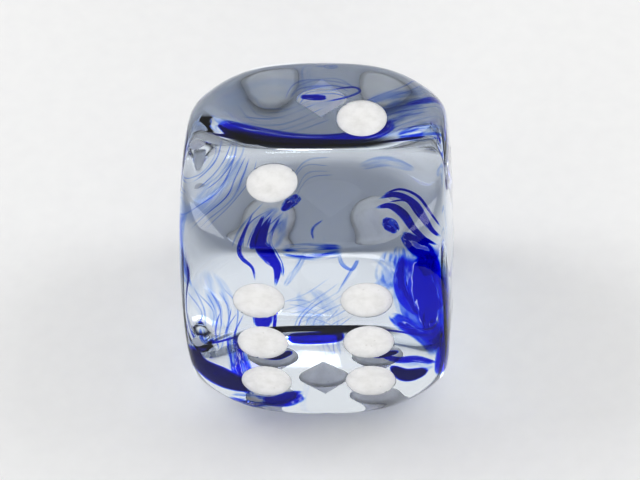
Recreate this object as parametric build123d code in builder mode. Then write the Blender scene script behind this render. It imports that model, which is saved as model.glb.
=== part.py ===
"""Clear resin six-sided die: a ball-cornered cube with white pips and blue ink swirls inside.

Millimetres. +Z is up through the face of two pips, -Y is the face of six, +X is the face of three.
The origin is the centre of the resting face, so the die fills z = 0 to z = SIDE.
"""

import os
from math import radians, sqrt, tan

from build123d import *

# ---- body: a cube with faintly domed faces, whose corners follow a ball
SIDE = 16.0  # across the flat land in the middle of each face
HALF = SIDE / 2
FACE_R = 100.0  # tumbling domes every face
PROUD = 0.03  # how far the dome would stand past the land
BALL_R = 11.0  # the ball that the eight corners follow
EDGE_R = 1.0  # rolled edge between neighbouring surfaces

# ---- pips: one drill makes every dimple, and each is filled with paint
PIP_R = 1.49  # mouth radius
PIP_ANGLE = 92.0  # full angle of the drill point
PIP_DEPTH = PIP_R / tan(radians(PIP_ANGLE / 2))
PAINT_BELOW = 0.03  # paint rim below the face
PAINT_DISH = 0.06  # further dish at the middle, left by shrinkage
PAINT_RIM_R = PIP_R * (1 - PAINT_BELOW / PIP_DEPTH)  # where the paint meets the dimple's wall
DISH_R = (PAINT_RIM_R**2 + PAINT_DISH**2) / (2 * PAINT_DISH)  # ball that shapes the dish

# ---- pip layout, measured from each face's centre
TWO_OUT = 2.52  # face two, half spacing along both edges
TWO_SHIFT_X, TWO_SHIFT_Y = 0.21, -0.07  # the pair is drilled a little off centre
SIX_COLUMN = 3.085  # face six, half spacing of the two columns
SIX_ROW = 3.72  # face six, spacing of its three rows
CORNER_OUT = 3.05  # faces three, four and five, corner pips

os.makedirs("parts", exist_ok=True)


def save(part, name):
    """Label a finished piece and write its STEP file."""
    part.label = name
    export_step(part, f"parts/{name}.step")


# The plane of each face: its centre, its own right-hand direction, and its outward normal.
MIDDLE = Vector(0, 0, HALF)
FACE_PLANES = {
    "one": Plane(origin=MIDDLE + Vector(0, HALF, 0), x_dir=(-1, 0, 0), z_dir=(0, 1, 0)),
    "two": Plane(origin=MIDDLE + Vector(0, 0, HALF), x_dir=(1, 0, 0), z_dir=(0, 0, 1)),
    "three": Plane(origin=MIDDLE + Vector(HALF, 0, 0), x_dir=(0, 1, 0), z_dir=(1, 0, 0)),
    "four": Plane(origin=MIDDLE - Vector(HALF, 0, 0), x_dir=(0, -1, 0), z_dir=(-1, 0, 0)),
    "five": Plane(origin=MIDDLE - Vector(0, 0, HALF), x_dir=(1, 0, 0), z_dir=(0, 0, -1)),
    "six": Plane(origin=MIDDLE - Vector(0, HALF, 0), x_dir=(1, 0, 0), z_dir=(0, -1, 0)),
}

CORNERS = [(x, y) for y in (CORNER_OUT, -CORNER_OUT) for x in (-CORNER_OUT, CORNER_OUT)]
RISING_PAIR = [CORNERS[1], CORNERS[2]]
FACE_PIPS = {
    "one": [(0, 0)],
    "two": [(TWO_SHIFT_X - TWO_OUT, TWO_SHIFT_Y - TWO_OUT), (TWO_SHIFT_X + TWO_OUT, TWO_SHIFT_Y + TWO_OUT)],
    "three": [RISING_PAIR[0], (0, 0), RISING_PAIR[1]],
    "four": CORNERS,
    "five": CORNERS[:2] + [(0, 0)] + CORNERS[2:],
    "six": [(x, y) for y in (SIX_ROW, 0, -SIX_ROW) for x in (-SIX_COLUMN, SIX_COLUMN)],
}


def pip_locations(face):
    """Where each pip of a face is drilled: on the domed face or its land, +Z square to the surface."""
    plane = FACE_PLANES[face]
    to_dome = FACE_R - PROUD  # from the dome's centre out to the land
    spots = []
    for x, y in FACE_PIPS[face]:
        rise = min(sqrt(FACE_R**2 - x**2 - y**2) - to_dome, 0)
        axis = plane.x_dir * x + plane.y_dir * y + plane.z_dir * (to_dome + rise)
        spots.append(Location(Plane(plane.from_local_coords((x, y, rise)), x_dir=plane.x_dir, z_dir=axis)))
    return spots


def streak(plane, stations, thickness):
    """Ink streak lofted through crescent sections that lie in planes parallel to one plane.

    Each station is (height above the plane, centre x, centre y, half width, bow, turn in degrees).
    A section is the sliver between two arcs through the same two tips.
    """
    with BuildPart() as body:
        for height, x, y, half_width, bow, turn in stations:
            section_plane = plane * Location((x, y, height), (0, 0, turn))
            with BuildSketch(section_plane):
                with BuildLine():
                    ThreePointArc((-half_width, 0), (0, bow + thickness / 2), (half_width, 0))
                    ThreePointArc((half_width, 0), (0, bow - thickness / 2), (-half_width, 0))
                make_face()
        loft()
    return body.part


def ribbon(points, widths, thickness, flat):
    """Ink ribbon: flat ellipses carried along a smooth path, one width at each even step of it."""
    with BuildPart() as body:
        with BuildLine():
            path = Spline(*points)
        for step, width in enumerate(widths):
            t = step / (len(widths) - 1)
            with BuildSketch(Plane(origin=path @ t, x_dir=flat, z_dir=path % t)):
                Ellipse(width / 2, thickness / 2)
        sweep(path=path, multisection=True)
    return body.part


LEVEL = Plane(origin=MIDDLE)  # sections stacked upwards
ACROSS = Plane(origin=MIDDLE, x_dir=(0, 1, 0), z_dir=(1, 0, 0))  # stacked towards +X, x is +Y, y is +Z


def inside(x, y, z):
    """A point given from the die's middle."""
    return MIDDLE + Vector(x, y, z)


streaks = {}

# Dense cloud of undiluted dye down the right front edge.
streaks["ink_cloud_right"] = streak(
    LEVEL,
    [(-3.6, 6.75, -5.3, 0.35, 0.10, 0), (-1.2, 6.45, -5.2, 0.75, 0.20, 0), (1.4, 5.70, -5.1, 1.55, 0.35, 4),
     (4.0, 5.60, -5.2, 1.65, 0.40, 8), (6.0, 5.60, -5.4, 1.25, 0.30, 12)],
    thickness=0.9,
)

# Combed feather that curls over from the cloud towards the middle of the top.
streaks["ink_feather_right"] = streak(
    ACROSS,
    [(3.6, -2.10, 5.35, 0.55, 0.20, -30), (4.8, -2.35, 5.45, 1.05, 0.30, -28),
     (6.0, -2.95, 4.90, 1.20, 0.30, -35), (6.9, -3.50, 4.20, 0.70, 0.20, -45)],
    thickness=0.3,
)

# Long S-shaped ribbon down the left of face six.
streaks["ink_ribbon_left"] = ribbon(
    [inside(-1.1, -2.7, 6.0), inside(-2.9, -4.4, 5.8), inside(-3.7, -5.5, 4.9), inside(-3.0, -5.6, 3.0),
     inside(-2.6, -5.5, 1.2)],
    widths=[0.5, 1.5, 1.7, 1.3, 0.5],
    thickness=0.3,
    flat=(1, 0.3, 0),
)

# The tail of the same ribbon, broken off below it.
streaks["ink_ribbon_low"] = streak(
    LEVEL,
    [(-2.2, -2.9, -4.6, 0.35, 0.05, 0), (-1.3, -3.1, -4.9, 0.75, 0.12, 5), (-0.2, -3.3, -5.3, 0.85, 0.12, 10),
     (0.5, -3.5, -5.5, 0.40, 0.08, 15)],
    thickness=0.3,
)

# Smear drawn along the bottom front edge.
streaks["ink_smear_base"] = streak(
    ACROSS,
    [(-3.9, -5.75, -6.75, 0.35, 0.05, 0), (-3.0, -5.80, -6.80, 0.65, 0.08, 0),
     (-2.0, -5.80, -6.75, 0.60, 0.08, 0), (-1.2, -5.70, -6.60, 0.30, 0.05, 0)],
    thickness=0.4,
)

# Small curl hanging in the middle, behind face six.
streaks["ink_curl_middle"] = ribbon(
    [inside(0.3, -1.0, 6.2), inside(0.9, -1.6, 4.4), inside(2.0, -2.2, 3.6), inside(2.4, -2.4, 4.6)],
    widths=[0.3, 0.8, 0.7, 0.3],
    thickness=0.22,
    flat=(1, 0, 0),
)

# Thin veil of arcs in the upper left.
streaks["ink_veil_left"] = streak(
    ACROSS,
    [(-6.9, -0.9, 4.0, 1.1, 0.5, -20), (-6.0, -1.1, 4.9, 2.1, 0.8, -22), (-5.1, -1.3, 5.3, 2.2, 0.8, -24),
     (-4.2, -1.5, 5.2, 1.2, 0.5, -26)],
    thickness=0.25,
)

# Faint upright wisp low on the left.
streaks["ink_wisp_left"] = streak(
    LEVEL,
    [(-4.2, -6.3, -4.6, 0.30, 0.05, 20), (-1.4, -6.5, -4.9, 0.60, 0.12, 30),
     (0.9, -6.3, -5.2, 0.75, 0.15, 35), (2.6, -6.0, -5.2, 0.35, 0.08, 40)],
    thickness=0.22,
)

# Arcs drawn under the top near the back, around the pip of face one.
streaks["ink_arc_back"] = streak(
    ACROSS,
    [(-2.4, 5.6, 3.6, 0.35, 0.08, 60), (-0.9, 5.5, 4.7, 0.80, 0.20, 62), (0.9, 5.4, 4.9, 0.85, 0.20, 64),
     (2.5, 5.2, 4.1, 0.40, 0.10, 66)],
    thickness=0.25,
)

# Slanting streak in the upper right, at the back.
streaks["ink_streak_back"] = streak(
    ACROSS,
    [(3.9, 3.0, 4.3, 0.35, 0.06, 30), (5.0, 3.5, 4.9, 0.75, 0.12, 34), (6.0, 3.8, 5.0, 0.55, 0.10, 38)],
    thickness=0.25,
)

# Deep swirl in the back half, low on the right.
streaks["ink_swirl_deep"] = streak(
    ACROSS,
    [(-0.6, 4.4, -3.6, 0.30, 0.06, 70), (1.4, 4.8, -3.0, 0.80, 0.20, 60), (3.4, 5.0, -2.4, 1.10, 0.30, 50),
     (5.2, 4.6, -2.8, 0.45, 0.10, 40)],
    thickness=0.3,
)

# Clear resin body: domed faces, ball corners, drilled for the paint, closed round every streak of ink.
with BuildPart() as clear_body:
    with Locations(MIDDLE):
        Sphere(BALL_R)
    for face_plane in FACE_PLANES.values():
        dome_centre = face_plane.origin - face_plane.z_dir * (FACE_R - PROUD)
        with Locations(Plane(dome_centre, x_dir=-face_plane.z_dir, z_dir=face_plane.x_dir)):
            Sphere(FACE_R, mode=Mode.INTERSECT)
    fillet(clear_body.edges(), radius=EDGE_R)
    with Locations(MIDDLE):
        Box(SIDE, SIDE, SIDE, mode=Mode.INTERSECT)
    for face in FACE_PIPS:
        with Locations(*pip_locations(face)):
            Cone(
                bottom_radius=0,
                top_radius=PIP_R,
                height=PIP_DEPTH,
                align=(Align.CENTER, Align.CENTER, Align.MAX),
                mode=Mode.SUBTRACT,
            )
    for ink in streaks.values():
        add(ink, mode=Mode.SUBTRACT)
save(clear_body.part, "clear_body")

for name, ink in streaks.items():
    save(ink, name)

# White paint fills, one to each dimple. Each meets its dimple's wall and stops just below the face.
for face in FACE_PIPS:
    for number, location in enumerate(pip_locations(face), start=1):
        mouth = Plane(location)
        cut = Plane(origin=mouth.origin, x_dir=mouth.x_dir, z_dir=-mouth.y_dir)
        with BuildPart() as paint:
            with BuildSketch(cut):
                with BuildLine():
                    wall = Line((0, -PIP_DEPTH), (PAINT_RIM_R, -PAINT_BELOW))
                    dish = RadiusArc(wall @ 1, (0, -PAINT_BELOW - PAINT_DISH), DISH_R)
                    Line(dish @ 1, wall @ 0)
                make_face()
            revolve(axis=Axis(mouth.origin, mouth.z_dir))
        save(paint.part, f"pip_{face}_{number}")
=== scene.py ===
import bpy
import numpy as np
from mathutils import Matrix, Vector


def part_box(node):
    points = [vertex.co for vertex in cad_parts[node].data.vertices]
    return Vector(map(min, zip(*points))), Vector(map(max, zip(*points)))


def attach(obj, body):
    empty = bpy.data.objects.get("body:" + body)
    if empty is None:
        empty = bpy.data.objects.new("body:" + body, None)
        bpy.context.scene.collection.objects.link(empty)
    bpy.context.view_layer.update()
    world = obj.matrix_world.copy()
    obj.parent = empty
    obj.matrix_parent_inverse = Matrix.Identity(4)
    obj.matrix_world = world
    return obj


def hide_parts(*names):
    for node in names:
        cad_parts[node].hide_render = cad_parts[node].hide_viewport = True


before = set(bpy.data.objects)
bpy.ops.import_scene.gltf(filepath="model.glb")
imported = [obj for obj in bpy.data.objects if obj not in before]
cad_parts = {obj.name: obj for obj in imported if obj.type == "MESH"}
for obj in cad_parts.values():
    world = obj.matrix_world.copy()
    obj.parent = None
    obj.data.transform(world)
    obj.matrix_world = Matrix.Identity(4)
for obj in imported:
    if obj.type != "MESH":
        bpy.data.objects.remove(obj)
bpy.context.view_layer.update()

# ---------------------------------------------------------------------------------------------
# Clear body. A cube of water-clear resin, cast solid, tumbled until its faces dome faintly, its
# edges roll over and its corners follow a ball, then drilled with one cone for every pip.
# ---------------------------------------------------------------------------------------------
MM = 0.001
low, high = (np.array(corner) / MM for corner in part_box("clear_body"))
MIDDLE = (low + high) / 2
HALF = (high[0] - low[0]) / 2
FACE_R = 100.0  # dome of every face
BALL_R = 11.10  # ball that the corners follow
BLEND = 0.30  # how softly the domes and the ball roll into each other
PIP_R = 1.493
DRILL_HALF_ANGLE = np.radians(46)
PIP_DEPTH = PIP_R / np.tan(DRILL_HALF_ANGLE)

# Outward direction of each face, and the two directions along it (right-handed with the first).
FACES = {
    "one": ((0, 1, 0), (-1, 0, 0), (0, 0, 1)),
    "two": ((0, 0, 1), (1, 0, 0), (0, 1, 0)),
    "three": ((1, 0, 0), (0, 1, 0), (0, 0, 1)),
    "four": ((-1, 0, 0), (0, -1, 0), (0, 0, 1)),
    "five": ((0, 0, -1), (1, 0, 0), (0, -1, 0)),
    "six": ((0, -1, 0), (1, 0, 0), (0, 0, 1)),
}
FACES = {name: [np.array(d, float) for d in directions] for name, directions in FACES.items()}


def pips_of(face):
    """Names and centres of a face's pips: the middle of each CAD fill's box, across the face."""
    out, along, up = FACES[face]
    found = []
    for node in sorted(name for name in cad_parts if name.startswith(f"pip_{face}_")):
        centre = sum(np.array(corner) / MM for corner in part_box(node)) / 2 - MIDDLE
        found.append((node, float(centre @ along), float(centre @ up)))
    return found


def shape(points):
    """Signed distance outside the die, and its slope.

    Six domes and the corner ball each give a distance past their own surface. The soft maximum,
    blend x log(sum of exp(distance / blend)), rolls every edge between them. The slope is the
    same weights' mean of the directions away from each centre.
    """
    centres = np.concatenate([[(HALF - FACE_R) * out for out, _, _ in FACES.values()], [[0, 0, 0]]])
    radii = np.array([FACE_R] * 6 + [BALL_R])
    away = points[:, None] - centres
    length = np.linalg.norm(away, axis=2)
    past = length - radii
    top = past.max(axis=1, keepdims=True)
    weight = np.exp((past - top) / BLEND)
    slope = (weight[..., None] * away / length[..., None]).sum(axis=1) / weight.sum(axis=1)[:, None]
    return top[:, 0] + BLEND * np.log(weight.sum(axis=1)), slope


PAST_SURFACE = 1.2  # share of the way out to the cube that is always past the surface
HALVINGS = 40


def tumble(cube_points):
    """Carry points on the cube along the line to the die's middle until they lie on the surface.

    The place on the line is found by halving the span in which the shape's distance changes sign.
    """
    near, far = np.zeros(len(cube_points)), np.full(len(cube_points), PAST_SURFACE)
    for _ in range(HALVINGS):
        middle = (near + far) / 2
        inside = shape(cube_points * middle[:, None])[0] < 0
        near, far = np.where(inside, middle, near), np.where(inside, far, middle)
    points = cube_points * near[:, None]
    normals = shape(points)[1]
    return points, normals / np.linalg.norm(normals, axis=1)[:, None]


def pip_frame(u, v, out, along, up):
    """Where a pip is drilled: the mouth circle's centre, the outward axis, and two directions across.

    The axis is the dome's own slope at (u, v). The mouth sinks below the dome by its sagitta,
    dome radius - square root of (dome radius^2 - mouth radius^2).
    """
    rise = np.sqrt(FACE_R**2 - u * u - v * v)
    axis = (u * along + v * up + rise * out) / FACE_R
    sag = FACE_R - np.sqrt(FACE_R**2 - PIP_R**2)
    centre = u * along + v * up + (HALF - FACE_R + rise) * out - sag * axis
    side = along - (along @ axis) * axis
    side /= np.linalg.norm(side)
    return centre, axis, side, np.cross(axis, side)


def new_piece(name, points, faces, normals=None, **attributes):
    """Smooth mesh from points in mm about the die's middle, with corner normals and attributes.

    An attribute with two columns becomes a UV layer, and one with a single column a point value.
    """
    mesh = bpy.data.meshes.new(name)
    mesh.from_pydata(((points + MIDDLE) * MM).tolist(), [], faces)
    mesh.polygons.foreach_set("use_smooth", np.ones(len(mesh.polygons), bool))
    for key, values in attributes.items():
        if values.ndim == 2:
            layer = mesh.uv_layers.new(name=key)
            corners = np.empty(len(mesh.loops), np.int32)
            mesh.loops.foreach_get("vertex_index", corners)
            layer.data.foreach_set("uv", values[corners].ravel())
        else:
            mesh.attributes.new(key, "FLOAT", "POINT").data.foreach_set("value", values.astype(np.float32))
    if normals is not None:
        mesh.normals_split_custom_set(normals.tolist())
    mesh.update()
    piece = bpy.data.objects.new(name, mesh)
    bpy.context.collection.objects.link(piece)
    return piece


BLOCK = PIP_R + 0.06  # half side of the square of grid cells that each dimple replaces
RINGS = 5
FLAT_TO, ROLL_FROM = 5.4, 6.9  # grid steps: even to the first, finest past the second


def block_sides(u, v):
    """Grid lines either side of a dimple, both ways.

    The dimple's place is carried out from the dome to the cube, with half a block each way.
    """
    carry = HALF / (HALF - FACE_R + np.sqrt(FACE_R**2 - u * u - v * v))
    reach = np.array([-BLOCK, BLOCK])
    return u * carry + reach, v * carry + reach


def cut_lines():
    """Grid lines along the cube: closer where the edge rolls, and one at each side of a dimple."""
    spans = [(0, FLAT_TO, 13), (FLAT_TO, ROLL_FROM, 10), (ROLL_FROM, HALF, 20)]
    steps = np.concatenate([np.linspace(*span) for span in spans])
    lines = np.concatenate([steps, -steps])
    pips = [(u, v) for face in FACES for _, u, v in pips_of(face)]
    sides = np.concatenate([np.concatenate(block_sides(u, v)) for u, v in pips])
    return np.unique(np.round(np.concatenate([lines, sides, -sides]), 2))


def drilled_die():
    """Body surface: six square grids tumbled into the die, each dimple's cells replaced by a cone.

    Where a dimple is, the square of grid cells is left out. Its rim of grid points is joined to
    the mouth circle at the same angles, and the circle runs down the cone in rings to the tip.
    """
    lines = cut_lines()
    n = len(lines)
    points, faces, corner_normals = [], [], []
    count = 0
    for face, (out, along, up) in FACES.items():
        grid_u, grid_v = np.meshgrid(lines, lines, indexing="ij")
        cube = grid_u[..., None] * along + grid_v[..., None] * up + HALF * out
        tumbled, normals = tumble(cube.reshape(-1, 3))
        index = np.arange(n * n).reshape(n, n) + count
        keep = np.ones((n - 1, n - 1), bool)
        holes = []
        for node, u, v in pips_of(face):
            (i0, i1), (j0, j1) = (
                np.abs(lines[:, None] - sides).argmin(axis=0) for sides in block_sides(u, v)
            )
            keep[i0:i1, j0:j1] = False
            loop = np.concatenate(
                [index[i0:i1, j0], index[i1, j0:j1], index[i1:i0:-1, j1], index[i0, j1:j0:-1]]
            )
            holes.append((u, v, loop))
        quads = np.stack([index[:-1, :-1], index[1:, :-1], index[1:, 1:], index[:-1, 1:]], axis=-1)[keep]
        points.append(tumbled)
        faces += quads.tolist()
        corner_normals.append(normals[quads - count].reshape(-1, 3))
        base = count
        count += n * n
        for u, v, loop in holes:
            centre, axis, side, over = pip_frame(u, v, out, along, up)
            place = tumbled[loop - base] - centre
            angle = np.arctan2(place @ over, place @ side)
            spoke = np.cos(angle)[:, None] * side + np.sin(angle)[:, None] * over
            share = np.linspace(1, 0, RINGS)[:-1]
            share = share[:, None, None]
            rings = centre + PIP_R * share * spoke - PIP_DEPTH * (1 - share) * axis
            wall_normal = (axis * PIP_R - spoke * PIP_DEPTH) / np.hypot(PIP_R, PIP_DEPTH)
            m = len(loop)
            ring_index = np.arange(m * (RINGS - 1)).reshape(RINGS - 1, m) + count
            tip = count + m * (RINGS - 1)
            points += [rings.reshape(-1, 3), (centre - PIP_DEPTH * axis)[None]]
            count = tip + 1
            onward = np.roll(np.arange(m), -1)
            flat = np.stack([loop, loop[onward], ring_index[0][onward], ring_index[0]], axis=-1)
            faces += flat.tolist()
            outer, mouth = normals[loop - base], shape(rings[0])[1]
            corners = [outer, outer[onward], mouth[onward], mouth]
            corner_normals.append(np.stack(corners, axis=1).reshape(-1, 3))
            here, there = wall_normal, wall_normal[onward]
            for upper, lower in zip(ring_index[:-1], ring_index[1:]):
                faces += np.stack([upper, upper[onward], lower[onward], lower], axis=-1).tolist()
                corner_normals.append(np.stack([here, there, there, here], axis=1).reshape(-1, 3))
            last = ring_index[-1]
            faces += np.stack([last, last[onward], np.full(m, tip)], axis=-1).tolist()
            corner_normals.append(np.stack([here, there, here], axis=1).reshape(-1, 3))
    points = np.concatenate(points)
    _, first, same = np.unique(np.round(points, 4), axis=0, return_index=True, return_inverse=True)
    same = same.ravel()
    welded = [same[face].tolist() for face in map(np.array, faces)]
    return points[first], welded, np.concatenate(corner_normals)


points, faces, corner_normals = drilled_die()
die_body = new_piece("die_body", points, faces, corner_normals)


def node_group(name, inputs, outputs):
    """Empty shader group with named sockets: inputs is {name: (kind, value)}, outputs is {name: kind}."""
    group = bpy.data.node_groups.new(name, "ShaderNodeTree")
    for key, (kind, value) in inputs.items():
        socket = group.interface.new_socket(key, in_out="INPUT", socket_type=f"NodeSocket{kind}")
        socket.default_value = value
    for key, kind in outputs.items():
        group.interface.new_socket(key, in_out="OUTPUT", socket_type=f"NodeSocket{kind}")
    return group, group.nodes.new("NodeGroupInput").outputs, group.nodes.new("NodeGroupOutput").inputs


def add_node(tree, kind, links=None, **settings):
    """Node of one kind in a tree, with settings, and inputs linked to sockets or set to values."""
    node = tree.nodes.new(f"ShaderNode{kind}")
    for key, value in settings.items():
        setattr(node, key, value)
    for key, value in (links or {}).items():
        if isinstance(value, bpy.types.NodeSocket):
            tree.links.new(value, node.inputs[key])
        else:
            node.inputs[key].default_value = value
    return node


# Handling marks: faint smears and hair scratches that every polished surface of the die carries.
marks, marks_in, marks_out = node_group(
    "handling marks",
    {
        "Position": ("Vector", (0, 0, 0)),
        "Smear": ("Float", 0.02),
        "Scratch": ("Float", 0.05),
        "Base": ("Float", 0.01),
    },
    {"Roughness": "Float"},
)
smear = add_node(
    marks, "TexNoise", {"Vector": marks_in["Position"], "Scale": 260.0, "Detail": 4.0, "Distortion": 0.8}
)
smear_band = add_node(marks, "MapRange", {0: smear.outputs[0], 1: 0.5, 2: 0.75, 3: 0.0, 4: 1.0})
smear_amount = add_node(marks, "Math", {0: smear_band.outputs[0], 1: marks_in["Smear"]}, operation="MULTIPLY")
swirl = add_node(marks, "TexNoise", {"Vector": marks_in["Position"], "Scale": 90.0, "Detail": 1.0})
bend = add_node(marks, "VectorMath", {0: swirl.outputs["Color"], "Scale": 0.006}, operation="SCALE")
bent = add_node(marks, "VectorMath", {0: marks_in["Position"], 1: bend.outputs[0]}, operation="ADD")
long_way = add_node(
    marks,
    "Mapping",
    {"Vector": bent.outputs[0], "Rotation": (0.4, 0.7, 0.3), "Scale": (3500.0, 200.0, 3500.0)},
)
hair = add_node(marks, "TexNoise", {"Vector": long_way.outputs[0], "Scale": 1.0, "Detail": 2.0})
hair_line = add_node(marks, "MapRange", {0: hair.outputs[0], 1: 0.70, 2: 0.74, 3: 0.0, 4: 1.0})
hair_amount = add_node(marks, "Math", {0: hair_line.outputs[0], 1: marks_in["Scratch"]}, operation="MULTIPLY")
worn = add_node(marks, "Math", {0: smear_amount.outputs[0], 1: hair_amount.outputs[0]}, operation="ADD")
total = add_node(marks, "Math", {0: worn.outputs[0], 1: marks_in["Base"]}, operation="ADD")
marks.links.new(total.outputs[0], marks_out["Roughness"])


def new_material(name, **sockets):
    """Material with one Principled shader whose plain sockets are set here."""
    material = bpy.data.materials.new(name)
    material.use_nodes = True
    tree = material.node_tree
    shader = tree.nodes["Principled BSDF"]
    for key, value in sockets.items():
        shader.inputs[key.replace("_", " ")].default_value = value
    return material, tree, shader


resin, tree, shader = new_material("clear resin", IOR=1.5, Transmission_Weight=1.0, Roughness=0.0)
where = add_node(tree, "TexCoord").outputs["Object"]
worn_resin = add_node(
    tree, "Group", {"Position": where, "Smear": 0.012, "Scratch": 0.03, "Base": 0.0}, node_tree=marks
)
tree.links.new(worn_resin.outputs["Roughness"], shader.inputs["Roughness"])
haze = add_node(tree, "TexNoise", {"Vector": where, "Scale": 120.0, "Detail": 2.0})
cast = add_node(tree, "ValToRGB", {0: haze.outputs[0]})
cast.color_ramp.elements[0].color = (0.96, 0.985, 1.0, 1.0)
cast.color_ramp.elements[1].color = (0.985, 0.997, 1.0, 1.0)
tree.links.new(cast.outputs[0], shader.inputs["Base Color"])
tint = add_node(tree, "VolumeAbsorption", {"Color": (0.55, 0.74, 0.96, 1.0), "Density": 10.0})
tree.links.new(tint.outputs[0], tree.nodes["Material Output"].inputs["Volume"])
die_body.data.materials.append(resin)
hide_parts("clear_body")
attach(die_body, "root")

# ---------------------------------------------------------------------------------------------
# Pips. Each dimple is flooded with white enamel and wiped, so the paint fills the cone, keys to
# its wall, dries a hair below the face and sinks a little in the middle. Edges chip in use.
# ---------------------------------------------------------------------------------------------
KEY_IN = 0.006


def paint_fill(u, v, out, along, up, seed):
    """Closed fill turned about the pip's axis: a profile up the wall to the rim, then in over the dish.

    The dish deepens towards the middle as 1 - (share of the way out)^2, and the rim dips where
    chips are: narrow bumps at a few angles, fading inwards.
    """
    rng = np.random.default_rng(seed)
    around, down = 96, 7
    angle = np.linspace(0, 2 * np.pi, around, endpoint=False)
    rim_dip = 0.012 + 0.01 * np.sin(angle * 2 + rng.uniform(0, 6))
    chips = rng.uniform(0, 2 * np.pi, 3), rng.uniform(0.02, 0.06, 3), rng.uniform(0.0, 0.05, 3)
    for at, width, dip in zip(*chips):
        away = np.angle(np.exp(1j * (angle - at)))
        rim_dip = rim_dip + dip * np.exp(-((away / width) ** 2))
    wall = np.linspace(0, 1, down)[1:, None]
    wall_depth = PIP_DEPTH + (rim_dip - PIP_DEPTH) * wall
    wall_r = PIP_R * (1 - wall_depth / PIP_DEPTH) + KEY_IN
    share = np.array([0.985, 0.95, 0.88, 0.75, 0.55, 0.3])[:, None]
    dish_depth = rim_dip * share**6 + 0.02 * (1 - share**8) + rng.uniform(0.05, 0.09) * (1 - share**2)
    dish_r = wall_r[-1] * share
    radius = np.concatenate([wall_r, dish_r])
    depth = np.concatenate([wall_depth, dish_depth])
    centre, axis, side, over = pip_frame(u, v, out, along, up)
    spoke = np.cos(angle)[:, None] * side + np.sin(angle)[:, None] * over
    rings = centre + radius[..., None] * spoke - depth[..., None] * axis
    tip = centre - (PIP_DEPTH + KEY_IN) * axis
    top = centre - float(dish_depth[-1].mean()) * axis
    points = np.concatenate([rings.reshape(-1, 3), tip[None], top[None]])
    n = len(radius)
    index = np.arange(n * around).reshape(n, around)
    onward = np.roll(index, -1, axis=1)
    faces = np.stack([index[:-1], onward[:-1], onward[1:], index[1:]], axis=-1).reshape(-1, 4).tolist()
    faces += np.stack([np.full(around, n * around), onward[0], index[0]], axis=-1).tolist()
    faces += np.stack([index[-1], onward[-1], np.full(around, n * around + 1)], axis=-1).tolist()
    return points, faces


enamel, tree, shader = new_material(
    "white enamel", IOR=1.5, Roughness=0.35, Subsurface_Weight=0.5, Subsurface_Scale=0.0008
)
shader.inputs["Subsurface Radius"].default_value = (1.0, 1.0, 1.0)
where = add_node(tree, "TexCoord").outputs["Object"]
mottle = add_node(tree, "TexNoise", {"Vector": where, "Scale": 1400.0, "Detail": 5.0, "Roughness": 0.6})
shade = add_node(tree, "ValToRGB", {0: mottle.outputs[0]})
shade.color_ramp.elements[0].position = 0.3
shade.color_ramp.elements[0].color = (0.72, 0.715, 0.70, 1.0)
shade.color_ramp.elements[1].position = 0.6
shade.color_ramp.elements[1].color = (0.81, 0.805, 0.795, 1.0)
specks = add_node(tree, "TexVoronoi", {"Vector": where, "Scale": 1300.0, "Randomness": 1.0})
speck_mask = add_node(tree, "MapRange", {0: specks.outputs["Distance"], 1: 0.04, 2: 0.10, 3: 0.35, 4: 0.0})
GRIME = (0.45, 0.43, 0.40, 1.0)
dirt = add_node(tree, "Mix", {0: speck_mask.outputs[0], 6: shade.outputs[0], 7: GRIME}, data_type="RGBA")
tree.links.new(dirt.outputs[2], shader.inputs["Base Color"])
worn_paint = add_node(
    tree, "Group", {"Position": where, "Smear": 0.15, "Scratch": 0.15, "Base": 0.32}, node_tree=marks
)
tree.links.new(worn_paint.outputs["Roughness"], shader.inputs["Roughness"])
grain = add_node(tree, "TexNoise", {"Vector": where, "Scale": 2600.0, "Detail": 3.0})
relief = add_node(tree, "Bump", {"Height": grain.outputs[0], "Strength": 0.12, "Distance": 0.00005})
tree.links.new(relief.outputs[0], shader.inputs["Normal"])

for face, (out, along, up) in FACES.items():
    for node, u, v in pips_of(face):
        points, faces = paint_fill(u, v, out, along, up, seed=sum(map(ord, node)))
        fill = new_piece(f"paint_{node[4:]}", points, faces)
        fill.data.materials.append(enamel)
        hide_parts(node)
        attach(fill, "root")

# ---------------------------------------------------------------------------------------------
# Ink. Drops of cobalt dye were stirred into the resin before it set, so each streak is a sliver
# of tinted resin inside the clear, drawn out into combed strands that thin away at their ends.
# Two slivers low on the front are painted shade instead, and one band there is partly painted shade.
# ---------------------------------------------------------------------------------------------
dye, dye_in, dye_out = node_group(
    "combed dye",
    {
        "Along": ("Float", 0.0),
        "Across": ("Float", 0.0),
        "Amount": ("Float", 1.0),
        "Strands": ("Float", 8.0),
        "Depth": ("Float", 1.0),
        "Seed": ("Float", 0.0),
    },
    {"Color": "Color"},
)
long_scale = add_node(dye, "Math", {0: dye_in["Along"], 1: 1.6}, operation="MULTIPLY")
cross_scale = add_node(dye, "Math", {0: dye_in["Across"], 1: dye_in["Strands"]}, operation="MULTIPLY")
sheet = add_node(dye, "CombineXYZ", {0: long_scale.outputs[0], 1: cross_scale.outputs[0], 2: dye_in["Seed"]})
comb = add_node(dye, "TexNoise", {"Vector": sheet.outputs[0], "Scale": 1.0, "Detail": 3.0, "Roughness": 0.55})
strand = add_node(
    dye, "MapRange", {0: comb.outputs[0], 1: 0.36, 2: 0.66, 3: 0.0, 4: 1.0}, interpolation_type="SMOOTHSTEP"
)
spread = add_node(dye, "Math", {0: strand.outputs[0], 1: dye_in["Amount"]}, operation="MULTIPLY")
flood = add_node(dye, "MapRange", {0: dye_in["Amount"], 1: 1.0, 2: 2.0, 3: 0.0, 4: 1.5})
filled = add_node(dye, "Math", {0: spread.outputs[0], 1: flood.outputs[0]}, operation="ADD")
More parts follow.
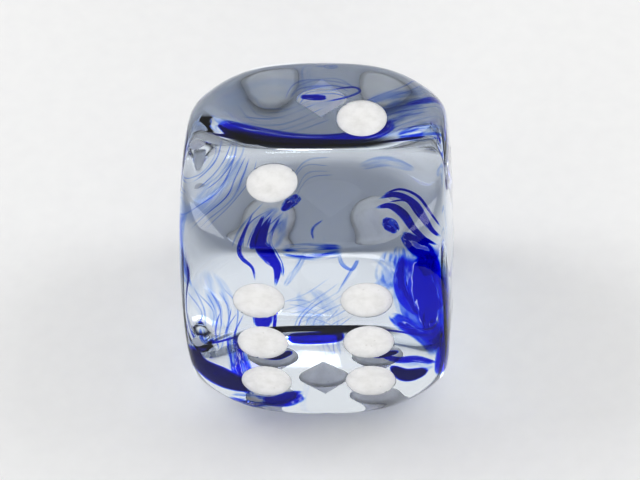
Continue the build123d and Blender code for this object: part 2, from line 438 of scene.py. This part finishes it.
density = add_node(dye, "Math", {0: filled.outputs[0], 1: dye_in["Depth"]}, operation="MULTIPLY", use_clamp=True)
tone = add_node(dye, "ValToRGB", {0: density.outputs[0]})
for position, color in (
    (0.0, (1.0, 1.0, 1.0)),
    (0.15, (0.72, 0.81, 0.98)),
    (0.35, (0.30, 0.46, 0.95)),
    (0.6, (0.02, 0.10, 0.92)),
    (0.8, (0.0, 0.028, 0.86)),
    (1.0, (0.0, 0.003, 0.66)),
):
    stop = tone.color_ramp.elements[0] if position == 0.0 else tone.color_ramp.elements.new(position)
    stop.position = position
    stop.color = (*color, 1.0)
dye.links.new(tone.outputs[0], dye_out["Color"])


def dye_material(name, strands, depth, seed):
    """Tinted resin that lets light straight through, coloured by the combed dye of its ribbon."""
    material, tree, shader = new_material(name, IOR=1.0, Transmission_Weight=1.0, Roughness=0.0)
    split = add_node(tree, "SeparateXYZ", {0: add_node(tree, "UVMap", uv_map="ribbon").outputs[0]})
    amount = add_node(tree, "Attribute", attribute_name="dye").outputs["Fac"]
    combed = add_node(
        tree,
        "Group",
        {
            "Along": split.outputs[0],
            "Across": split.outputs[1],
            "Amount": amount,
            "Strands": strands,
            "Depth": depth,
            "Seed": seed,
        },
        node_tree=dye,
    )
    tree.links.new(combed.outputs["Color"], shader.inputs["Base Color"])
    return material


def smooth_line(knots, t):
    """Points along a smooth line through the knots, at shares t of its way.

    Each span is a cubic whose ends take the slope between the neighbouring knots.
    """
    knots = np.array(knots, float)
    padded = np.vstack([2 * knots[0] - knots[1], knots, 2 * knots[-1] - knots[-2]])
    place = np.clip(t, 0, 1) * (len(knots) - 1)
    span = np.minimum(place.astype(int), len(knots) - 2)
    s = (place - span)[:, None]
    a, b, c, d = (padded[span + k] for k in range(4))
    return b + 0.5 * s * (c - a + s * (2 * a - 5 * b + 4 * c - d + s * (3 * (b - c) + d - a)))


# Which way a ribbon's flat looks: up, to the front, or at the rolled edge between them.
TOP, FRONT, BROW = (0, 0, 1), (0, -1, 0), (0, -0.7, 0.7)
TAPER = 0.14  # share of a ribbon's length over which each end draws out
PATTERN_STEP = [3.7, 1.9]  # moves the dye's pattern on from one ribbon to the next


def dye_ribbon(knots, width, flat, amount=1.0, thick=0.08, bow=0.0, shift=0.0):
    """Closed ribbon: a flat ellipse carried along a smooth line, tapering to a point at both ends.

    The ribbon's side is square to the line and to the direction that its flat faces. Point(t, a) =
    line(t) + (shift + half width cos a) along the side + (half thickness sin a + bow sin^2 a)
    along the flat's own direction. The dye thins towards both edges and both ends.
    """
    steps, around = 70, 20
    t = np.linspace(0, 1, steps)
    line = smooth_line(knots, t)
    ahead = np.gradient(line, axis=0)
    ahead /= np.linalg.norm(ahead, axis=1)[:, None]
    side = np.cross(np.array(flat, float), ahead)
    side /= np.linalg.norm(side, axis=1)[:, None]
    normal = np.cross(ahead, side)
    widths = smooth_line(np.array(width, float)[:, None], t)[:, 0]
    taper = np.clip(np.minimum(t, 1 - t) / TAPER, 0.0, 1.0)
    half = np.maximum(widths, 0.02) / 2 * np.sqrt(taper * (2 - taper) + 1e-4)
    angle = np.linspace(0, 2 * np.pi, around, endpoint=False)
    across, over = np.cos(angle)[None, :], np.sin(angle)[None, :]
    lift = bow * (1 - across**2) * taper[:, None] + thick / 2 * over * np.sqrt(taper + 1e-4)[:, None]
    reach = half[:, None] * across + shift
    points = line[:, None] + reach[..., None] * side[:, None] + lift[..., None] * normal[:, None]
    fade = (1 - across**6) * np.ones((steps, 1)) * (taper * taper * (3 - 2 * taper))[:, None]
    uv = np.stack([t[:, None] * np.ones((1, around)), 0.5 + 0.5 * across * np.ones((steps, 1))], axis=-1)
    index = np.arange(steps * around).reshape(steps, around)
    onward = np.roll(index, -1, axis=1)
    faces = np.stack([index[:-1], onward[:-1], onward[1:], index[1:]], axis=-1).reshape(-1, 4).tolist()
    ends = len(index.ravel()) + np.arange(2)
    faces += np.stack([np.full(around, ends[0]), onward[0], index[0]], axis=-1).tolist()
    faces += np.stack([index[-1], onward[-1], np.full(around, ends[1])], axis=-1).tolist()
    middle = line + shift * side
    points = np.concatenate([points.reshape(-1, 3), middle[:1], middle[-1:]])
    uv = np.concatenate([uv.reshape(-1, 2), [[0, 0.5], [1, 0.5]]])
    fade = np.concatenate([fade.ravel(), [0, 0]]) * amount
    return points, faces, uv, fade


THREAD = 0.04  # thickness of a single thread or fold
WANDER = 0.12  # how far each knot of a thread strays from its line


def hairs(knots, flat, count, spread, amount, seed, width=0.09):
    """Several thin threads that follow one line side by side, each at its own distance and strength."""
    rng = np.random.default_rng(seed)
    threads = []
    for place in np.linspace(-0.5, 0.5, count):
        line = knots + rng.normal(0, WANDER, (len(knots), 3))
        widths = [width * 0.6, width * rng.uniform(0.8, 1.8), width * 0.6]
        strength = amount * rng.uniform(0.5, 1.1)
        threads.append(dye_ribbon(line, widths, flat, strength, thick=THREAD, shift=spread * place))
    return threads


def folded_dye_and_shade(knots, width, flat, folds):
    """Stacks the same ribbon several times behind itself to read near black, for folds of dye and for painted
    shade.
    """
    knots, step = np.array(knots, float), 1.5 * THREAD * np.array(flat, float)
    return [dye_ribbon(knots - k * step, width, flat, 2.0, thick=THREAD) for k in range(folds)]


def ink_piece(name, ribbons, material, *nodes):
    """One mesh from several ribbons, standing for the CAD streaks it replaces."""
    points, faces, uvs, fades = [], [], [], []
    for number, (ribbon_points, ribbon_faces, uv, fade) in enumerate(ribbons):
        shift = sum(len(p) for p in points)
        points.append(ribbon_points)
        faces += [[corner + shift for corner in face] for face in ribbon_faces]
        uvs.append(uv + [number * step for step in PATTERN_STEP])
        fades.append(fade)
    points, uvs, fades = np.concatenate(points), np.concatenate(uvs), np.concatenate(fades)
    piece = new_piece(name, points, faces, ribbon=uvs, dye=fades)
    piece.data.materials.append(material)
    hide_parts(*nodes)
    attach(piece, "root")
    return piece


# Dense cloud down the right front edge: a broad sheet, its folded top, its pale lobes and its dark seams.
cloud_dye = dye_material("cobalt cloud", strands=2.5, depth=0.56, seed=1.0)
ink_piece(
    "ink_cloud",
    [
        dye_ribbon([(6.2, -6.7, 6.9), (6.1, -6.8, 5.2), (6.1, -6.7, 3.2), (6.3, -6.5, 1.2),
                    (6.7, -6.3, -0.8), (6.9, -6.0, -3.8)],
                   [2.2, 3.0, 3.2, 2.8, 1.7, 0.9], FRONT, 1.6, bow=0.15),
        dye_ribbon([(6.5, -5.9, 6.4), (6.3, -5.8, 4.4), (6.3, -5.7, 2.4), (6.7, -5.6, 0.0)],
                   [1.6, 2.6, 2.4, 1.0], FRONT, 1.1),
        dye_ribbon([(4.3, -6.8, 1.9), (5.2, -6.8, 0.9), (6.2, -6.6, -0.3), (6.9, -6.2, -2.4)],
                   [0.6, 1.3, 1.3, 0.6], FRONT, 1.4),
        dye_ribbon([(4.4, -6.5, 6.5), (4.1, -6.4, 5.0), (4.4, -6.4, 3.6)], [0.8, 1.2, 0.9], FRONT, 0.75),
        dye_ribbon([(5.0, -6.4, 6.8), (4.9, -6.4, 5.4), (5.3, -6.4, 4.2)], [0.8, 1.2, 0.8], FRONT, 1.0),
        dye_ribbon([(6.9, -6.3, 4.9), (7.3, -6.4, 2.5), (7.3, -6.4, -0.5), (7.0, -6.3, -3.0),
                    (6.7, -6.1, -5.0)],
                   [0.6, 0.8, 0.8, 0.7, 0.4], FRONT, 2.0),
        dye_ribbon([(5.0, -5.6, 6.9), (5.7, -6.2, 6.85), (6.5, -6.7, 6.7), (7.2, -6.6, 6.2)],
                   [0.4, 1.2, 1.7, 1.2], TOP, 2.0),
        dye_ribbon([(6.3, -6.9, 6.7), (6.6, -6.95, 5.9), (6.8, -6.8, 4.6)], [1.0, 1.5, 1.2], BROW, 2.0),
        dye_ribbon([(4.6, -7.0, 1.3), (5.6, -7.0, 0.3), (6.6, -6.7, -0.3)], [0.3, 0.5, 0.3], FRONT, 2.0),
        dye_ribbon([(5.0, -6.3, 6.2), (4.9, -6.4, 4.4), (5.3, -6.4, 2.6), (6.1, -6.3, 1.0)],
                   [0.3, 0.8, 0.9, 0.3], FRONT, 1.9),
        dye_ribbon([(6.3, -6.2, 2.2), (6.5, -6.2, 0.2), (6.8, -6.1, -2.2)], [0.3, 0.9, 0.4], FRONT, 2.0),
        dye_ribbon([(3.2, -6.4, -1.8), (4.6, -6.6, -2.5), (5.8, -6.6, -2.5), (6.9, -6.3, -3.2)],
                   [0.2, 0.6, 0.7, 0.3], FRONT, 2.0),
        dye_ribbon([(4.2, -5.6, -3.0), (5.6, -5.8, -3.6), (6.6, -5.8, -3.4)],
                   [0.4, 1.4, 0.6], FRONT, 0.5),
    ],
    cloud_dye,
    "ink_cloud_right",
)

# Combed feather over the top right: two bold strokes with thin ones beside them.
feather_dye = dye_material("cobalt feather", strands=3.0, depth=1.4, seed=4.0)
ink_piece(
    "ink_feather",
    [
        dye_ribbon([(3.7, -3.4, 7.0), (4.7, -3.1, 7.1), (5.7, -3.6, 7.0), (6.3, -4.5, 6.9),
                    (6.8, -5.2, 6.7), (7.4, -5.4, 6.3)],
                   [0.15, 0.45, 0.5, 0.4, 0.3, 0.2], TOP, 1.8),
        dye_ribbon([(3.5, -4.1, 7.0), (4.4, -3.9, 7.05), (5.1, -4.4, 7.0), (5.7, -5.3, 6.9),
                    (6.4, -5.9, 6.8), (7.2, -6.1, 6.4)],
                   [0.15, 0.45, 0.6, 0.45, 0.3, 0.2], TOP, 1.8),
        dye_ribbon([(4.0, -3.1, 7.1), (5.0, -2.7, 7.1), (6.0, -3.2, 7.1), (6.7, -4.2, 6.8),
                    (7.3, -4.8, 6.4)],
                   [0.1, 0.18, 0.2, 0.14, 0.1], TOP, 1.6),
        dye_ribbon([(4.3, -3.5, 6.8), (5.3, -3.4, 6.8), (5.9, -4.3, 6.8), (6.5, -5.1, 6.7)],
                   [0.08, 0.14, 0.14, 0.1], TOP, 1.6),
        dye_ribbon([(4.0, -4.7, 6.7), (4.4, -5.0, 6.6), (4.8, -5.4, 6.5)], [0.4, 0.9, 0.5], TOP, 1.3),
    ],
    feather_dye,
    "ink_feather_right",
)

# Long S-shaped ribbon on the left, drawn out in strands that fold over the front edge, and its tail.
ribbon_dye = dye_material("cobalt ribbon", strands=3.0, depth=1.4, seed=7.0)
ink_piece(
    "ink_ribbon",
    [
        dye_ribbon([(-0.7, -3.2, 7.2), (-1.2, -3.7, 7.2), (-1.7, -4.4, 7.2)], [0.5, 0.8, 0.4], TOP, 1.2),
        dye_ribbon([(-2.2, -4.5, 7.2), (-2.7, -5.8, 7.1), (-2.8, -6.6, 7.0), (-2.3, -7.0, 6.7),
                    (-1.9, -7.1, 6.0), (-2.1, -7.1, 4.4)],
                   [0.15, 0.6, 0.8, 0.8, 0.5, 0.2], BROW, 1.6),
        dye_ribbon([(-2.7, -4.6, 7.2), (-3.1, -6.0, 7.1), (-3.3, -6.8, 6.9)],
                   [0.15, 0.4, 0.4], BROW, 1.6),
        dye_ribbon([(-3.2, -4.1, 7.2), (-3.8, -6.0, 7.1), (-4.0, -6.8, 6.9), (-3.8, -7.1, 6.6),
                    (-3.3, -7.1, 6.0), (-3.2, -7.1, 4.9)],
                   [0.1, 0.22, 0.3, 0.25, 0.18, 0.1], BROW, 1.2),
        dye_ribbon([(-1.7, -4.6, 7.1), (-2.2, -5.8, 7.0), (-2.2, -6.6, 6.9), (-1.7, -7.0, 6.4),
                    (-1.6, -7.1, 5.2)],
                   [0.1, 0.2, 0.2, 0.3, 0.2], BROW, 0.9),
        *hairs([(-2.0, -4.0, 6.9), (-3.3, -5.6, 6.9), (-3.5, -6.7, 6.7)], TOP, 5, 1.8, 0.5, seed=21),
        dye_ribbon([(-1.7, -3.9, 6.8), (-2.4, -5.4, 6.8), (-2.6, -6.7, 6.7)], [1.2, 2.4, 1.6], TOP, 0.22),
    ],
    ribbon_dye,
    "ink_ribbon_left",
)
ink_piece(
    "ink_tail",
    [
        dye_ribbon([(-2.9, -6.5, 2.4), (-3.0, -6.5, 1.4), (-3.1, -6.4, 0.4)],
                   [0.9, 1.2, 0.9], FRONT, 1.6),
        dye_ribbon([(-2.3, -6.6, 2.3), (-2.3, -6.6, 1.4), (-2.4, -6.5, 0.4)],
                   [0.15, 0.25, 0.2], FRONT, 1.4),
        dye_ribbon([(-4.8, -6.9, 0.2), (-4.7, -6.9, -1.6), (-4.5, -6.8, -4.0), (-4.1, -6.7, -6.0)],
                   [0.7, 1.2, 1.4, 0.9], FRONT, 0.9),
        *hairs([(-4.7, -6.8, 2.2), (-5.2, -6.8, 0.4), (-5.3, -6.7, -1.6)], FRONT, 4, 1.1, 0.9, seed=22),
    ],
    ribbon_dye,
    "ink_ribbon_low",
)

# Smear along the bottom front edge, with stacked dark bands on the front: a band along the lower
# left edge, partly dye and partly painted shade where that edge looks dark; a bar across the middle;
# a patch low on the right; and two slivers of painted shade under the middle pips of the six.
smear_and_shade_dye = dye_material("cobalt smear and painted shade", strands=3.0, depth=1.4, seed=9.0)
ink_piece(
    "ink_smear_and_painted_shade",
    [
        dye_ribbon([(-3.6, -6.9, -6.2), (-2.7, -6.9, -6.3), (-1.9, -6.8, -6.1), (-0.9, -6.7, -5.5)],
                   [0.7, 1.1, 1.5, 1.0], FRONT, 1.45),
        dye_ribbon([(-5.4, -6.5, -6.0), (-4.0, -6.7, -6.4), (-2.8, -6.8, -6.4)],
                   [0.8, 1.3, 0.9], FRONT, 0.7),
        # Partly dye, partly painted shade: laid five deep so it reads near black along the lower left edge,
        # where that edge looks dark.
        *folded_dye_and_shade([(-7.0, -6.4, -1.4), (-6.9, -6.7, -2.7), (-6.0, -6.9, -3.8), (-4.9, -7.0, -4.6),
                 (-3.6, -7.0, -5.2)],
                [0.2, 0.8, 1.6, 1.5, 0.5], FRONT, 5),
        *folded_dye_and_shade([(-1.7, -7.0, -0.25), (-0.8, -7.05, -0.2), (0.8, -7.05, -0.1), (1.7, -7.0, 0.0)],
                [0.6, 1.0, 1.0, 0.6], FRONT, 5),
        # Painted shade: these two dark slivers sit just under the two middle pips of the six, where the resin
        # only looks dark.
        *folded_dye_and_shade([(-3.6, -6.9, -1.9), (-2.4, -7.0, -1.9), (-1.4, -6.9, -1.5)], [0.2, 0.6, 0.3], FRONT, 4),
        *folded_dye_and_shade([(2.6, -6.9, -1.8), (3.7, -7.0, -1.8), (4.8, -6.9, -1.6)], [0.2, 0.6, 0.2], FRONT, 4),
        *folded_dye_and_shade([(4.2, -6.9, -3.0), (5.2, -6.9, -3.9), (6.4, -6.7, -3.5)], [0.3, 1.2, 0.4], FRONT, 5),
    ],
    smear_and_shade_dye,
    "ink_smear_base",
)

# Thin wisps: hair-fine threads and pale veils all through the die.
wisp_dye = dye_material("thin blue wisp", strands=5.0, depth=0.7, seed=12.0)
ink_piece(
    "ink_curl",
    [
        dye_ribbon([(-1.7, -7.0, 7.1), (0.0, -7.1, 7.1), (1.9, -7.0, 7.1)], [0.5, 0.9, 0.6], BROW, 0.9),
        dye_ribbon([(0.7, -5.0, 7.2), (0.1, -5.7, 7.2), (0.2, -6.5, 7.2)], [0.1, 0.2, 0.1], TOP, 1.1),
        dye_ribbon([(1.5, -6.8, 7.0), (1.8, -7.0, 6.2), (2.3, -7.0, 5.8), (2.6, -7.0, 6.4),
                    (2.2, -7.0, 5.6), (1.2, -7.0, 3.4)],
                   [0.2, 0.3, 0.25, 0.2, 0.2, 0.1], FRONT, 0.8),
        dye_ribbon([(-0.3, -7.0, 7.0), (-0.9, -7.0, 5.8), (-1.6, -7.0, 4.4)],
                   [0.4, 0.5, 0.3], FRONT, 0.5),
        *hairs([(2.0, -5.5, 3.4), (0.4, -5.4, 1.8), (-1.6, -5.2, 0.6)], FRONT, 6, 2.4, 0.5, seed=31),
        *hairs([(1.2, -4.6, 1.2), (0.1, -4.6, 0.0), (-0.4, -4.4, -1.4)], FRONT, 7, 2.6, 0.8, seed=32),
        *hairs([(0.9, -1.0, -2.4), (0.4, -0.8, -4.0), (0.6, -0.8, -5.6)], FRONT, 6, 1.2, 1.0, seed=33),
        dye_ribbon([(-0.6, -5.0, 3.0), (0.2, -4.6, 0.6), (0.3, -4.4, -1.6)],
                   [1.6, 2.6, 2.0], FRONT, 0.25),
    ],
    wisp_dye,
    "ink_curl_middle",
)
ink_piece(
    "ink_veil",
    [
        *hairs([(-4.9, 2.6, 5.0), (-5.1, 1.0, 5.0), (-5.8, -0.4, 5.0), (-6.6, -1.2, 4.6)],
               TOP, 6, 1.6, 0.8, seed=41),
        *hairs([(-4.0, 0.9, 5.2), (-4.5, -0.6, 5.2), (-5.1, -2.3, 5.1), (-6.4, -3.6, 4.8)],
               TOP, 5, 1.4, 0.9, seed=42),
        dye_ribbon([(-4.3, 1.0, 5.0), (-5.0, -0.6, 5.0), (-5.7, -2.2, 4.9), (-6.5, -3.0, 4.6)],
                   [1.4, 2.4, 2.2, 1.0], TOP, 0.3),
        dye_ribbon([(-6.7, -2.6, 5.4), (-6.9, -4.6, 4.4), (-6.6, -6.0, 3.0)],
                   [0.5, 0.9, 0.5], (-1, 0, 0.4), 0.8),
    ],
    wisp_dye,
    "ink_veil_left",
)
ink_piece(
    "ink_wisp",
    [
        *hairs([(-6.4, -6.4, 3.6), (-6.0, -6.5, 2.0), (-6.1, -6.5, 0.2)], FRONT, 5, 1.2, 0.8, seed=51),
        *hairs([(-5.4, -6.6, 4.0), (-4.9, -6.7, 2.2), (-5.3, -6.6, -1.0)], FRONT, 4, 0.9, 0.7, seed=52),
        dye_ribbon([(-5.6, -5.6, 4.4), (-5.6, -5.6, 2.0), (-5.4, -5.4, -0.8)],
                   [1.0, 2.4, 1.4], FRONT, 0.25),
        dye_ribbon([(-6.6, -6.0, 0.2), (-6.4, -5.9, -1.2), (-5.6, -6.0, -1.0)],
                   [0.3, 0.6, 0.3], FRONT, 0.9),
    ],
    wisp_dye,
    "ink_wisp_left",
)
ink_piece(
    "ink_arc",
    [
        dye_ribbon([(0.2, 5.6, 4.2), (1.6, 6.0, 4.2), (2.4, 6.5, 4.2), (1.9, 6.9, 4.1), (0.4, 6.6, 4.1)],
                   [0.12, 0.16, 0.2, 0.16, 0.1], TOP, 1.4),
        dye_ribbon([(-1.2, 6.3, 3.8), (-0.2, 6.2, 3.8), (0.5, 6.2, 3.8)], [0.3, 0.55, 0.3], TOP, 1.9),
        *hairs([(-1.6, 5.6, 4.2), (-0.8, 6.7, 4.2), (0.8, 7.0, 4.1), (2.0, 6.4, 4.2)],
               TOP, 6, 1.0, 1.2, seed=61),
        *hairs([(-4.6, 5.4, 5.0), (-3.6, 4.0, 5.0), (-1.4, 3.6, 5.0)], TOP, 4, 1.6, 0.8, seed=62),
        dye_ribbon([(-6.2, 4.6, 5.4), (-3.6, 5.8, 5.2), (-1.2, 6.2, 4.8), (1.4, 6.0, 4.6)],
                   [1.6, 3.4, 3.4, 1.6], TOP, 0.15),
        dye_ribbon([(-6.2, 3.6, 6.1), (-4.4, 2.3, 6.3), (-1.2, 1.5, 6.3), (1.4, 1.6, 6.3),
                    (3.4, 2.2, 6.3), (5.2, 3.4, 6.2)],
                   [0.4, 1.4, 1.3, 1.0, 1.4, 0.5], TOP, 1.9, thick=0.12),
        *hairs([(-4.8, 3.4, 5.6), (-2.2, 3.0, 5.8), (0.6, 4.4, 5.8)], TOP, 5, 2.0, 0.7, seed=63),
    ],
    wisp_dye,
    "ink_arc_back",
)
ink_piece(
    "ink_streak",
    [
        *hairs([(1.8, 2.8, 4.6), (4.0, 4.4, 4.8), (6.4, 5.4, 4.6)], TOP, 8, 3.2, 1.1, seed=71),
        dye_ribbon([(2.2, 3.4, 4.8), (4.2, 4.6, 4.9), (6.2, 5.4, 4.7)], [1.6, 3.2, 2.0], TOP, 0.55),
        dye_ribbon([(4.6, 2.4, 5.0), (6.0, 2.8, 4.9), (7.0, 3.4, 4.4)], [0.5, 1.4, 0.7], TOP, 1.0),
        dye_ribbon([(5.0, 5.0, 5.0), (6.0, 5.3, 4.9), (6.9, 5.2, 4.4)], [0.2, 0.5, 0.3], TOP, 1.3),
    ],
    wisp_dye,
    "ink_streak_back",
)
ink_piece(
    "ink_swirl",
    [
        *hairs([(-1.8, 2.0, -3.0), (-1.0, 4.8, -5.0), (0.4, 6.0, -6.6)],
               (1, 0, 0.3), 4, 1.2, 0.5, seed=81),
        dye_ribbon([(2.0, 4.6, -4.0), (3.8, 4.8, -3.4), (5.4, 4.4, -3.8)],
                   [0.8, 1.8, 0.9], (0, -1, 0), 0.4),
    ],
    wisp_dye,
    "ink_swirl_deep",
)

# ---------------------------------------------------------------------------------------------
# Table, light and camera. The die stands on a sheet of matt white card, a hair below its lowest
# face, in a pale room with a soft light high on each side and a third low in front.
# ---------------------------------------------------------------------------------------------
GAP = 0.00008
REACH = 3.0  # half side of the card, metres
floor_mesh = bpy.data.meshes.new("table")
card = [(-REACH, -REACH, -GAP), (REACH, -REACH, -GAP), (REACH, REACH, -GAP), (-REACH, REACH, -GAP)]
floor_mesh.from_pydata(card, [], [(0, 1, 2, 3)])
table = bpy.data.objects.new("table", floor_mesh)
bpy.context.collection.objects.link(table)
paper, tree, shader = new_material("pale table", Roughness=0.9)
shader.inputs["Specular IOR Level"].default_value = 0.2
where = add_node(tree, "TexCoord").outputs["Object"]
fibre = add_node(tree, "TexNoise", {"Vector": where, "Scale": 900.0, "Detail": 4.0})
pale = add_node(tree, "ValToRGB", {0: fibre.outputs[0]})
pale.color_ramp.elements[0].color = (0.80, 0.80, 0.80, 1.0)
pale.color_ramp.elements[1].color = (0.84, 0.84, 0.835, 1.0)
tree.links.new(pale.outputs[0], shader.inputs["Base Color"])
floor_mesh.materials.append(paper)


AIM = Vector((0, 0, 0.008))


def softbox(name, place, size, power):
    """Square soft light, its place and side in metres, turned to face the middle of the die."""
    light = bpy.data.lights.new(name, "AREA")
    light.shape = "SQUARE"
    light.size = size
    light.energy = power
    lamp = bpy.data.objects.new(name, light)
    turn = (AIM - Vector(place)).to_track_quat("-Z", "Y")
    lamp.matrix_world = Matrix.Translation(place) @ turn.to_matrix().to_4x4()
    bpy.context.collection.objects.link(lamp)


softbox("softbox_left", (-0.42, 0.10, 0.40), 0.26, 0.6)
softbox("softbox_right", (0.42, 0.10, 0.40), 0.26, 0.5)
softbox("softbox_front", (0.10, -0.60, 0.10), 0.30, 1.0)

# The room is pale all round, with a dark patch above the front where the stand and its hood are.
HOOD_TOWARD = (0.06, -0.65, 0.755)
HOOD_EDGE, HOOD_CORE = 0.86, 0.95  # cosines of the angle from the hood's middle
ROOM_LIGHT = 0.60
world = bpy.data.worlds.new("studio")
bpy.context.scene.world = world
world.use_nodes = True
tree = world.node_tree
sky = tree.nodes["Background"]
direction = add_node(tree, "TexCoord").outputs["Generated"]
toward_hood = add_node(tree, "VectorMath", {0: direction, 1: HOOD_TOWARD}, operation="DOT_PRODUCT")
room = add_node(
    tree,
    "MapRange",
    {0: toward_hood.outputs["Value"], 1: HOOD_EDGE, 2: HOOD_CORE, 3: ROOM_LIGHT, 4: 0.0},
    interpolation_type="SMOOTHSTEP",
)
tree.links.new(room.outputs[0], sky.inputs["Strength"])
sky.inputs["Color"].default_value = (1.0, 1.0, 1.0, 1.0)

# Camera: a long lens above and in front of the face of six, a little to its right.
AZIMUTH, ELEVATION, ROLL = np.radians([4.84, 48.98, -4.01])
DISTANCE = 160.0
LOWERED = 0.057  # how far the camera sits below the line through the die's middle
FOCAL_LENGTH = 149.94
right = np.array([np.cos(AZIMUTH), np.sin(AZIMUTH), 0.0])
level = np.array([np.sin(AZIMUTH), -np.cos(AZIMUTH), 0.0])
back = np.cos(ELEVATION) * level + np.sin(ELEVATION) * np.array([0.0, 0.0, 1.0])
up = np.cross(back, right)
right, up = np.cos(ROLL) * right + np.sin(ROLL) * up, np.cos(ROLL) * up - np.sin(ROLL) * right
camera = bpy.data.objects.new("camera", bpy.data.cameras.new("camera"))
camera.data.lens = FOCAL_LENGTH
camera.data.sensor_width = 36.0
camera.data.clip_start = 0.01
place = (MIDDLE + DISTANCE * back - LOWERED * up) * MM
camera.matrix_world = Matrix.Translation(place) @ Matrix(np.stack([right, up, back], axis=1)).to_4x4()
bpy.context.collection.objects.link(camera)
scene = bpy.context.scene
scene.camera = camera
scene.view_settings.view_transform = "Standard"
scene.view_settings.look = "High Contrast"
scene.view_settings.exposure = 0.03
scene.cycles.max_bounces = 64
scene.cycles.transmission_bounces = 64
scene.cycles.transparent_max_bounces = 32
